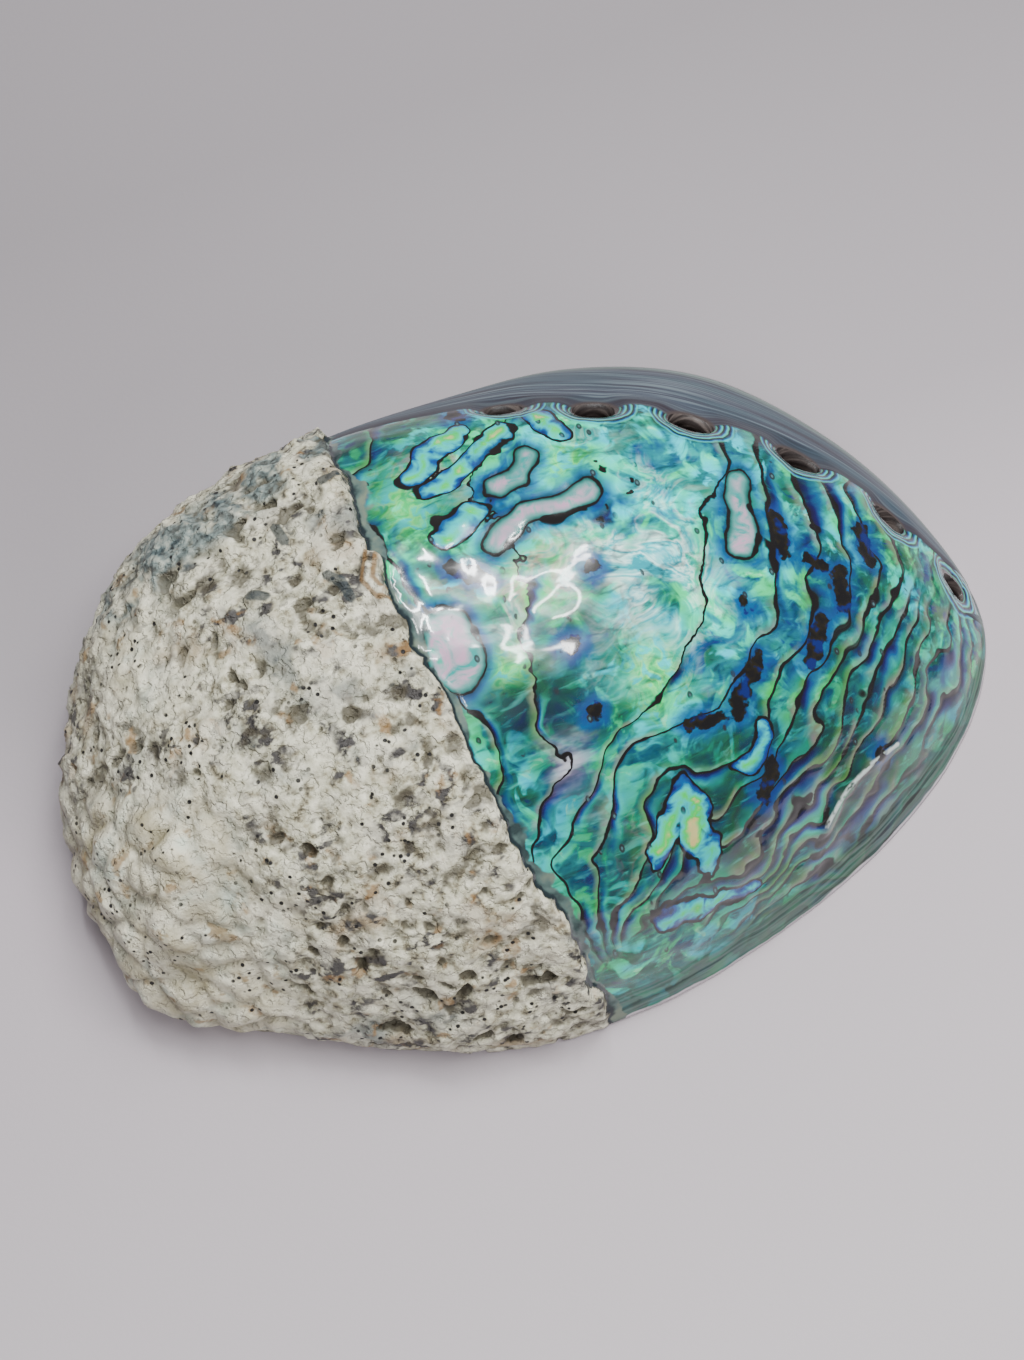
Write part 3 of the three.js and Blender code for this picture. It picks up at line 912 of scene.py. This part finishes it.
# %% The polished nacre
def nacre_ground(r):
    """The slow colours under the lines."""
    swirl = r.noise(13, 3, stretch=(1, 0.8, 1), twist=1.6)
    cloud = r.noise(5.5, 3, shift=3, twist=1.2)
    ground = r.ramp(swirl, (0.28, 24, 44, 96), (0.36, 14, 84, 112), (0.43, 12, 132, 134),
                    (0.52, 28, 108, 98), (0.62, 44, 96, 78), (0.74, 88, 118, 100))
    bright = r.ramp(r.noise(7, 2, shift=21), (0.4, 0, 206, 220), (0.5, 0, 216, 184),
                    (0.6, 6, 206, 138))
    bright = r.mix(r.times(r.step(r.noise(3, 3, shift=22, twist=1.0), 0.55, 0.7), 0.7), bright,
                   tone(206, 246, 214))
    ground = r.mix(r.times(r.step(cloud, 0.48, 0.6), 0.95), ground, bright)
    ground = r.mix(r.times(r.step(cloud, 0.4, 0.3), 0.85), ground, tone(28, 40, 110))
    mist = r.noise(8, 4, shift=9, twist=1.4)
    misty = r.ramp(mist, (0.34, 24, 158, 170), (0.42, 216, 244, 242),
                   (0.49, 104, 178, 188), (0.56, 232, 248, 244), (0.64, 10, 176, 160),
                   (0.74, 130, 136, 168))
    pale = r.times(r.field("pale"), r.step(r.noise(8, 2, shift=5), 0.32, 0.55))
    ground = r.mix(r.times(pale, 0.9), ground, misty)
    gold = r.noise(5, 3, shift=12, twist=1.5)
    glow = r.ramp(gold, (0.32, 16, 170, 122), (0.44, 150, 204, 136),
                  (0.54, 214, 196, 172), (0.66, 22, 172, 150))
    ground = r.mix(r.times(r.field("warm"), 0.7), ground, glow)
    dim = r.ramp(r.noise(8, 3, shift=15, twist=1.0), (0.32, 18, 26, 70), (0.44, 16, 58, 62),
                 (0.56, 30, 82, 62), (0.7, 44, 66, 84))
    ground = r.mix(r.times(r.field("deep"), 0.9), ground, dim)
    flash = r.noise(3, 3, shift=17, twist=1.2)
    flash = r.ramp(flash, (0.36, 10, 190, 120), (0.5, 170, 236, 170), (0.62, 20, 206, 206))
    ground = r.mix(r.times(r.field("shine"), 0.85), ground, flash)
    silk = r.noise(1.2, 4, stretch=(4, 1.3, 1), shift=18, twist=0.8)
    ground = r.mix(r.times(r.step(silk, 0.52, 0.75), 0.28), ground, tone(150, 220, 208))
    return r.mix(r.times(r.step(silk, 0.5, 0.25), 0.6), ground, tone(4, 30, 42))


print("nacre ground: swirls, bright clouds, mist, gold, deep and silk")

# %% [markdown]
# ## Bands and growth lines
# The bands are measured in millimetres from the growth line behind and from the one ahead. The line
# itself is brown-black and swells into pools in places, so its width wanders with noise.

# %% Bands and growth lines
def band_colours(r, ground, after, before, wide):
    """Violet to blue to cyan just after a line, a pale edge just before the next."""
    shadow = r.ramp(r.calc("DIVIDE", after, wide), (0.0, 20, 14, 18), (0.22, 34, 30, 84),
                    (0.45, 12, 86, 136), (0.75, 8, 172, 166), (1.0, 20, 186, 150))
    strength = r.times(r.step(after, 2.4, 0.4), r.step(r.noise(11, 2, shift=20), 0.42, 0.64))
    ground = r.mix(strength, ground, shadow)
    edge = r.ramp(r.noise(9, 1, shift=25), (0.4, 150, 180, 120), (0.52, 190, 176, 160),
                  (0.64, 60, 190, 150))
    return r.mix(r.times(r.step(before, 1.5, 0.2), 0.35), ground, edge)


def line_darkness(r, distance, width=0.22):
    pools = r.times(r.step(r.noise(6, 2, shift=34), 0.60, 0.70), 1.6)
    thick = r.calc("ADD", r.scaled(r.noise(6, 2, shift=30), 1.4, -0.25), pools)
    reach = r.times(thick, width * 2)
    return r.step(r.calc("DIVIDE", distance, r.calc("MAXIMUM", reach, 0.16)), 1.25, 0.6)


print("bands: violet, blue, cyan and green after a line, a pale edge before it")

# %% [markdown]
# ## The whole nacre
# The layers go on in order: ground, bands, ground-through loops and islands, eyes, then the dark lines
# over all of them. Lacquer deepens the contrast, so the dark tones are bent darker before the whole is
# lifted. The borings of worms are small dark rings.

# %% The whole nacre
def nacre_colour(r):
    level = r.scaled(r.noise(3.0, 2, shift=40), 0.16, r.field("level"))
    share = r.calc("FRACT", level)
    slope = r.calc("MAXIMUM", r.field("slope"), 0.03)
    after = r.calc("DIVIDE", share, slope)
    before = r.calc("DIVIDE", r.minus(1.0, share), slope)
    wide = r.scaled(r.noise(14, 1, shift=33), 4.0, 0.2)
    ground = nacre_ground(r)
    banded = band_colours(r, ground, after, before, wide)
    colour = r.mix(r.step(slope, 0.85, 0.5), ground, banded)
    wisp = r.noise(2.2, 3, stretch=(3, 1, 1), shift=36)
    grey = r.ramp(wisp, (0.4, 84, 88, 96), (0.52, 120, 116, 128), (0.66, 190, 190, 196))
    colour = r.mix(r.times(r.field("mauve"), 0.8), colour, grey)
    loop = r.scaled(r.noise(3, 2, shift=46), 1.6, r.minus(r.field("loop"), 0.8))
    depth = r.scaled(loop, -0.32, -0.6)
    depth = r.scaled(r.noise(4, 3, shift=42, twist=1.0), 1.5, depth)
    inner = r.ramp(depth, (0.05, 40, 36, 100), (0.25, 8, 90, 150), (0.5, 10, 190, 190),
                   (0.75, 90, 200, 130), (1.0, 200, 190, 150))
    colour = r.mix(r.times(r.step(loop, 0.1, -0.2), 0.85), colour, inner)
    island = r.scaled(r.noise(3, 2, shift=44), 0.8, r.minus(r.field("island"), 0.4))
    halo = r.ramp(r.calc("DIVIDE", island, 3.2), (0.0, 26, 30, 60), (0.3, 10, 96, 150),
                  (0.7, 10, 176, 176), (1.0, 30, 180, 130))
    colour = r.mix(r.times(r.step(island, 3.0, 0.2), 0.7), colour, halo)
    core = r.noise(4, 4, shift=47, twist=1.2)
    core = r.ramp(core, (0.35, 84, 150, 146), (0.47, 162, 162, 168),
                  (0.58, 184, 162, 177), (0.72, 76, 170, 150))
    rind = r.ramp(r.times(island, -1.0), (0.0, 40, 44, 40), (0.35, 70, 112, 108),
                  (0.8, 110, 150, 146))
    core = r.mix(r.step(r.scaled(r.noise(4, 2, shift=48), 1.8, island), 0.4, -0.7), rind, core)
    colour = r.mix(r.step(island, 0.0, -0.3), colour, core)
    spot = r.scaled(r.noise(2.0, 3, shift=50), 3.0, r.minus(r.field("spot"), 1.45))
    colour = r.mix(r.times(r.step(spot, 2.2, 0.0), 0.7), colour, tone(6, 70, 132))
    shown = r.times(r.step(r.calc("MINIMUM", island, loop), -0.4, 0.2), r.step(slope, 0.75, 0.5))
    dark = r.times(line_darkness(r, r.calc("MINIMUM", after, before)), shown)
    dark = r.calc("MAXIMUM", dark, line_darkness(r, r.calc("ABSOLUTE", island), 0.2))
    dark = r.calc("MAXIMUM", dark, line_darkness(r, r.calc("ABSOLUTE", loop), 0.22))
    colour = r.mix(dark, colour, tone(18, 13, 10))
    inner = r.noise(2.2, 2, shift=52)
    inner = r.ramp(inner, (0.4, 10, 8, 8), (0.52, 38, 34, 16), (0.62, 30, 50, 104))
    colour = r.mix(r.step(spot, 0.0, -0.35), colour, inner)
    colour = r.bend(r.richer(colour, 1.35, 0.92), 1.3)
    colour = r.richer(colour, 1.0, 1.27)
    scar = r.times(r.step(r.field("scar"), 0.45, 0.1), r.step(r.noise(2, 2, shift=38), 0.36, 0.5))
    return r.mix(scar, colour, tone(176, 190, 184))


def with_worm_holes(r, colour):
    """Small dark-ringed borings, scattered."""
    near_hole = r.cells(3.0, stretch=(1, 1.5, 9))
    few = r.step(r.noise(8, 1, shift=60), 0.40, 0.5)
    few = r.times(few, r.step(r.noise(2.5, 1, shift=61), 0.42, 0.48))
    ring = r.times(r.step(near_hole, 0.16, 0.12), few)
    colour = r.mix(r.times(ring, 0.9), colour, tone(28, 30, 34))
    return r.mix(r.times(r.step(near_hole, 0.08, 0.04), few), colour, tone(60, 96, 100))


print("nacre layers: ground, bands, loops, islands, eyes, lines, scar, borings")

# %% [markdown]
# ## Side wall, hole rims and lip
# Below the holes the wall was ground edge-on, so its layers show as fine grey-blue streaks along the
# shell. Rings of layers surround each hole, and the bare edge of the lip is pinkish white.

# %% The ground wall and rims
def wall_colour(r):
    grain = r.noise(1.0, 5, stretch=(30, 0.9, 1), where=r.along_rim(), twist=0.2)
    slow = r.noise(1.0, 2, stretch=(26, 5, 1), where=r.along_rim(), shift=4)
    streaks = r.ramp(grain, (0.28, 24, 24, 32), (0.42, 46, 50, 62), (0.52, 64, 74, 86),
                     (0.64, 104, 118, 124), (0.78, 46, 76, 82))
    streaks = r.mix(r.times(r.step(slow, 0.4, 0.62), 0.5), streaks, tone(42, 70, 80))
    return r.mix(r.times(r.step(r.field("flank"), 9.0, 3.0), 0.75), streaks, tone(46, 40, 46))


def rim_colour(r, colour):
    """Pale layers near the rim of the front flank."""
    lines = r.noise(1.0, 3, stretch=(34, 1.3, 1), where=r.along_rim("rim"), shift=8)
    layers = r.ramp(lines, (0.36, 22, 34, 32), (0.42, 56, 80, 70), (0.5, 88, 100, 95),
                    (0.58, 50, 94, 78), (0.64, 24, 42, 38), (0.72, 88, 108, 97))
    colour = r.mix(r.times(r.step(r.field("edge_band"), 9.5, 6.0), 0.8), colour, layers)
    return r.mix(r.step(r.scaled(r.noise(5, 2, shift=62), 1.6, r.field("rim")), 1.9, 1.3),
                 colour, tone(196, 188, 194))


def around_holes(r, colour):
    gap = r.scaled(r.noise(4, 2, shift=66), 1.4, r.minus(r.field("pore"), 0.7))
    rings = r.calc("FRACT", r.times(gap, 1.15))
    ringed = r.ramp(rings, (0.0, 4, 14, 24), (0.25, 6, 50, 104), (0.45, 8, 160, 190),
                    (0.65, 70, 180, 140), (0.82, 6, 14, 18))
    colour = r.mix(r.times(r.step(gap, 3.8, 2.6), 0.95), colour, ringed)
    return r.mix(r.step(gap, 0.9, 0.2), colour, tone(52, 44, 42))


print("edge finishes: ground wall, rim layers, rings round the holes")

# %% [markdown]
# ## Crust
# The crust is lime laid down by coralline algae and worms, with silt in its pits. It is nearly matt,
# bone-white, and stained brown and blue-grey. Its hollows get painted shade: the stored ups and downs
# of the surface darken them. Low on the spire end it is smooth and creamy instead. Worm tubes cross it:
# the tan ones have stained edges and the short dark ones are full of silt.

# %% The chalky crust
def crust_colour(r):
    patch = r.noise(9, 4, shift=70)
    speck = r.noise(1.6, 5, shift=72)
    colour = r.ramp(speck, (0.3, 70, 66, 54), (0.38, 140, 134, 112), (0.47, 178, 176, 152),
                    (0.7, 216, 213, 192))
    colour = r.mix(r.times(r.step(patch, 0.55, 0.72), 0.65), colour, tone(132, 106, 74))
    slate = r.times(r.step(r.noise(12, 4, shift=75), 0.56, 0.72), 0.65)
    colour = r.mix(slate, colour, tone(88, 100, 104))
    cream = r.ramp(r.noise(5, 4, shift=77), (0.3, 164, 158, 130), (0.5, 210, 206, 182),
                   (0.7, 190, 200, 184))
    colour = r.mix(r.field("blob"), colour, cream)
    silt = r.times(r.step(r.noise(2.0, 5, stretch=(1.4, 1, 1), shift=79), 0.49, 0.58),
                  r.step(r.noise(7, 3, shift=81), 0.46, 0.56))
    silt = r.times(silt, r.minus(1.0, r.times(r.field("blob"), 0.8)))
    colour = r.mix(silt, colour, tone(66, 64, 62))
    rust = r.times(r.step(r.noise(4, 3, shift=82), 0.6, 0.68), 0.75)
    colour = r.mix(rust, colour, tone(128, 98, 58))
    chalk = r.times(r.step(r.noise(5, 4, shift=83), 0.5, 0.62), 0.55)
    colour = r.mix(chalk, colour, tone(216, 213, 192))
    top = r.times(r.step(r.field("ridge"), 6.0, 2.5), r.step(r.noise(6, 3, shift=86), 0.42, 0.56))
    murk = r.ramp(r.noise(1.6, 4, shift=87), (0.38, 40, 52, 56), (0.5, 96, 112, 112),
                  (0.64, 150, 158, 148))
    colour = r.mix(r.times(top, 0.9), colour, murk)
    hollow = r.times(r.step(r.cells(5.0), 0.45, 0.75), r.field("blob"))
    colour = r.mix(r.times(hollow, 0.4), colour, tone(120, 108, 72))
    # painted shade: the crust is darkened where its stored relief is low, in its hollows
    hollow_shade = r.scaled(r.noise(1.3, 3, shift=88), 1.2, r.minus(r.field("grains"), 0.6))
    share = r.scaled(r.field("blob"), -0.6, 0.85)
    colour = r.mix(r.times(r.step(hollow_shade, -0.1, -0.7), share), colour, tone(68, 63, 50))
    pin = r.times(r.step(r.cells(1.6), 0.26, 0.16), r.step(r.noise(9, 2, shift=84), 0.46, 0.55))
    colour = r.mix(pin, colour, tone(28, 27, 26))
    colour = r.mix(r.times(r.step(r.field("worm"), 0.9, 0.6), 0.85), colour, tone(46, 54, 56))
    tube_edge = r.calc("ABSOLUTE", r.minus(r.field("tube"), 0.75))
    return r.mix(r.times(r.step(tube_edge, 0.5, 0.15), 0.8), colour, tone(120, 92, 56))


def crust_height(r):
    grain = r.noise(0.9, 6, shift=90)
    pits = r.step(r.noise(1.5, 3, shift=92), 0.62, 0.48)
    return r.calc("ADD", grain, r.times(pits, 0.8))


print("crust layers: lime, stains, slate, cream, silt, rust, chalk, hollows, pinholes, tubes")

# %% [markdown]
# ## Put the outside together
# The ragged crust edge is a mask between the two halves. On the polished side of it runs a dull band
# where the grinder stopped short of clean nacre, and right at the foot of the crust a dark green-blue
# line of painted shadow. A hard clear coat covers the polished half only.

# %% Outside finish
def make_outside():
    r = Recipe(bpy.data.materials["shell_outside"])
    edge = r.scaled(r.noise(1.4, 3, shift=95), 0.9, r.minus(r.field("crust"), 0.1))
    polished = r.step(edge, -0.1, 0.12)
    colour = with_worm_holes(r, nacre_colour(r))
    colour = rim_colour(r, around_holes(r, colour))
    wall = r.mix(r.step(r.field("pore"), 1.0, 0.2), wall_colour(r), tone(60, 52, 50))
    on_wall = r.step(r.scaled(r.noise(8, 2, shift=97), 2.4, r.field("flank")), 1.6, 2.8)
    wall = r.mix(r.times(r.step(r.field("rim"), 7.0, 2.0), 0.55), wall, tone(116, 132, 122))
    wall = r.mix(r.step(r.field("rim"), 1.2, 0.5), wall, tone(176, 182, 182))
    colour = r.mix(on_wall, colour, wall)
    band = r.ramp(r.noise(4, 3, shift=99), (0.35, 34, 50, 50), (0.5, 72, 92, 88),
                  (0.66, 104, 116, 100))
    width = r.scaled(r.noise(6, 3, shift=101), 9.0, -2.9)
    colour = r.mix(r.step(r.calc("DIVIDE", edge, r.calc("MAXIMUM", width, 0.4)), 1.1, 0.8), colour, band)
    # painted shadow: a dark green-blue line along the foot of the crust step
    colour = r.mix(r.step(edge, 0.8, 0.3), colour, tone(16, 30, 34))
    colour = r.mix(polished, crust_colour(r), colour)
    rough = r.scaled(polished, -0.30, 0.52)
    height = r.times(crust_height(r), r.minus(1.0, polished))
    bare_edge = r.calc("MAXIMUM", on_wall, r.step(r.field("edge_band"), 11.0, 6.0))
    coat = r.times(polished, r.scaled(bare_edge, -0.95, 1.0))
    rough = r.calc("ADD", rough, r.times(r.times(bare_edge, polished), 0.30))
    r.finish(colour, rough, height, depth=0.35, coat=coat, coat_rough=0.07)


make_outside()
print("outside nodes:", len(bpy.data.materials["shell_outside"].node_tree.nodes))

# %% [markdown]
# ## The inside
# The inside is nacre as the animal left it: paler, softer swirls, a darker round scar where the muscle
# held on, a few growth rings, and fine layers along the shelf. None of it was ground.

# %% Inside finish
def make_inside():
    r = Recipe(bpy.data.materials["shell_inside"])
    swirl = r.noise(13, 4, twist=2.2, shift=2)
    colour = r.ramp(swirl, (0.28, 70, 90, 160), (0.4, 60, 150, 180), (0.5, 120, 205, 195),
                    (0.6, 190, 215, 200), (0.7, 225, 190, 205), (0.8, 120, 190, 160))
    colour = r.mix(r.step(r.noise(5, 3, shift=6, twist=1.0), 0.56, 0.7), colour, tone(200, 225, 220))
    scar = r.ramp(r.noise(3, 4, shift=8, twist=2.5), (0.35, 40, 95, 100), (0.5, 70, 170, 150),
                  (0.62, 150, 130, 190), (0.75, 190, 190, 150))
    colour = r.mix(r.step(r.field("muscle"), 16.6, 15.6), colour, scar)
    ring = r.step(r.calc("ABSOLUTE", r.minus(r.field("muscle"), 16.2)), 0.6, 0.2)
    colour = r.mix(r.times(ring, 0.8), colour, tone(45, 50, 45))
    share = r.calc("FRACT", r.times(r.noise(24, 3, shift=14, twist=0.8), 7.0))
    line = r.step(r.calc("ABSOLUTE", r.minus(share, 0.5)), 0.06, 0.02)
    colour = r.mix(r.times(line, 0.75), colour, tone(50, 50, 50))
    grain = r.noise(1.0, 3, stretch=(40, 2.0, 1), where=r.along_rim(), shift=3)
    shelf = r.ramp(grain, (0.35, 150, 190, 190), (0.5, 215, 215, 212),
                   (0.65, 225, 200, 205))
    colour = r.mix(r.step(r.field("flank"), 2.0, 6.0), colour, shelf)
    colour = r.mix(r.step(r.field("pore"), 1.2, 0.3), colour, tone(150, 145, 135))
    r.finish(colour, 0.24, coat=0.6, coat_rough=0.08)


make_inside()
print("inside nodes:", len(bpy.data.materials["shell_inside"].node_tree.nodes))

# %% [markdown]
# ## Lip and holes
# The flat of the lip shows every layer edge-on in bone and pink. The bores of the holes are the same
# layers, painted nearly black.

# %% Lip and hole finishes
def make_lip():
    r = Recipe(bpy.data.materials["shell_lip"])
    layers = r.noise(1.0, 3, stretch=(60, 60, 0.5), shift=5)
    colour = r.ramp(layers, (0.35, 150, 140, 132), (0.5, 205, 198, 196),
                    (0.65, 225, 214, 218))
    r.finish(colour, 0.4, r.noise(1.2, 4), depth=0.1)


def make_hole():
    r = Recipe(bpy.data.materials["shell_hole"])
    layers = r.noise(1.0, 3, stretch=(8, 8, 0.6), shift=7)
    # the bores are painted nearly black
    colour = r.ramp(layers, (0.35, 24, 19, 18), (0.5, 44, 38, 36), (0.68, 84, 76, 72))
    r.finish(colour, 0.45, r.noise(1.0, 3), depth=0.08)


for make in (make_lip, make_hole):
    make()
print("finishes:", [material.name for material in cut_mesh.materials])

# %% [markdown]
# ## Hand the skin to the frame
# The skin rides on the shell's one body and takes the place of the plain CAD solid.

# %% Frame
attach(skin, "root")
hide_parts("abalone_shell")

# %% [markdown]
# ## Table and light
# A lacquered shell is a mirror, so a large lamp seen in it would wash the colours out. The large key
# and the front fill therefore light the shell but are kept out of its reflections. A small haze and
# two narrow lamps may be mirrored: they draw the bright squiggles on the ripples. The table is pale,
# with painted shade that makes it a little darker away from the front.

# %% Table
def make_floor():
    floor_mesh = bpy.data.meshes.new("table_top")
    reach = 1.6
    corners = [(-reach, -reach, 0), (reach, -reach, 0), (reach, reach, 0), (-reach, reach, 0)]
    floor_mesh.from_pydata(corners, [], [(0, 1, 2, 3)])
    floor = bpy.data.objects.new("table_top", floor_mesh)
    bpy.context.scene.collection.objects.link(floor)
    material = bpy.data.materials.new("pale_table")
    floor_mesh.materials.append(material)
    r = Recipe(material)
    apart = r.add("ShaderNodeSeparateXYZ")
    r.feed(apart.inputs[0], r.place())
    away = r.scaled(apart.outputs[1], 4.0, 0.5)
    # painted shade: the table is painted darker away from the front, where less light reaches it
    colour = r.ramp(away, (0.08, 182, 176, 179), (0.5, 163, 155, 160),
                    (0.62, 145, 139, 143), (0.92, 125, 120, 123))
    r.finish(colour, 0.55, r.noise(0.8, 2), depth=0.02)
    floor.location.z = -0.0002
    return floor


print("table:", make_floor().name)

# %% [markdown]
# ## Lamps and room
# Area lamps stand in for windows and ceiling panels, and a lamp can be kept out of reflections while it
# still lights the shell. The pale room fills the shadows evenly.

# %% Lamps and room
def make_light(name, place, aim, size, watts, colour=(1, 1, 1), mirrored=True):
    lamp = bpy.data.lights.new(name, "AREA")
    lamp.shape = "RECTANGLE"
    lamp.size, lamp.size_y = size
    lamp.energy = watts
    lamp.color = colour
    holder = bpy.data.objects.new(name, lamp)
    holder.location = place
    holder.rotation_euler = (Vector(aim) - Vector(place)).to_track_quat("-Z", "Y").to_euler()
    holder.visible_glossy = mirrored
    bpy.context.scene.collection.objects.link(holder)


def make_room():
    world = bpy.data.worlds.new("pale_room")
    world.use_nodes = True
    ground = world.node_tree.nodes["Background"]
    ground.inputs[0].default_value = (0.80, 0.78, 0.83, 1)
    ground.inputs[1].default_value = 0.36
    bpy.context.scene.world = world


make_light("soft_key", (0.20, 0.10, 0.70), (0.0, 0.0, 0.02), (0.50, 0.45), 8.0, mirrored=False)
make_light("haze", (0.12, 0.30, 0.66), (0.0, 0.0, 0.02), (0.22, 0.12), 0.45)
make_light("window", (0.04, 0.34, 0.66), (0.02, 0.0, 0.02), (0.03, 0.20), 1.8, (0.95, 0.98, 1.0))
make_light("tube", (0.26, 0.26, 0.62), (0.0, 0.0, 0.02), (0.02, 0.30), 1.3)
make_light("front_fill", (0.15, -0.60, 0.42), (0.0, 0.0, 0.02), (0.40, 0.30), 2.8, (1.0, 0.97, 0.98),
           mirrored=False)
make_room()
print("lamps:", [lamp.name for lamp in bpy.data.lights])

# %% [markdown]
# ## Camera
# The camera is placed by its angles round the shell, its distance and the point it looks at, as a
# person would hold it: nearly overhead, and turned a little to one side.

# %% Camera
def make_camera(azimuth=-20.0, elevation=77.0, distance=0.340, aim=(-0.00098, 0.00259, 0.010), lens=57.9):
    a, e = math.radians(azimuth), math.radians(elevation)
    back = Vector((math.sin(a) * math.cos(e), -math.cos(a) * math.cos(e), math.sin(e)))
    right = Vector((math.cos(a), math.sin(a), 0))
    up = back.cross(right)
    camera = bpy.data.objects.new("camera", bpy.data.cameras.new("camera"))
    camera.data.lens = lens
    camera.data.clip_start = 0.01
    turn = Matrix((right, up, back)).transposed().to_4x4()
    camera.matrix_world = Matrix.Translation(Vector(aim) + back * distance) @ turn
    bpy.context.scene.collection.objects.link(camera)
    bpy.context.scene.camera = camera


make_camera()
print("camera:", bpy.context.scene.camera.name)

# %% [markdown]
# ## The seen surface and the body
# The seen surface must not drift away from the CAD body that is simulated.
